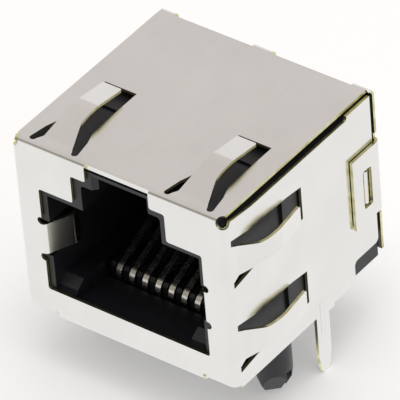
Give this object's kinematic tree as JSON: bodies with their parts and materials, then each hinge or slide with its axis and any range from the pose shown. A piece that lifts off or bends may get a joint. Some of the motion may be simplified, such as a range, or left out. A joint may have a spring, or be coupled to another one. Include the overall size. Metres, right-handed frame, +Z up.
{
  "type": "shielded modular jack",
  "caption": "Right-angle shielded modular jack for a circuit board, with a folded metal shield, grounding spring fingers and a stepped plug opening.",
  "frame": {"origin": "on the board surface, midway between the two board pegs", "axes": "+X to the right seen from the plug side, +Y away from the plug side towards the rear flap, +Z up from the board; the plug opening faces -Y"},
  "size_m": [0.0182, 0.0155, 0.0188],
  "materials": {
    "plated_sheet": "nickel-plated spring sheet, satin, with bare brassy cut edges",
    "housing_plastic": "black moulded thermoplastic, fine matte",
    "carrier_plastic": "black moulded thermoplastic, fine matte",
    "contact_wire": "plated spring wire, bright"
  },
  "bodies": {
    "root": {"shield": "plated_sheet", "housing": "housing_plastic", "contact_carrier": "carrier_plastic", "contact_1": "contact_wire", "contact_2": "contact_wire", "contact_3": "contact_wire", "contact_4": "contact_wire", "contact_5": "contact_wire", "contact_6": "contact_wire", "contact_7": "contact_wire", "contact_8": "contact_wire"}
  },
  "joints": []
}
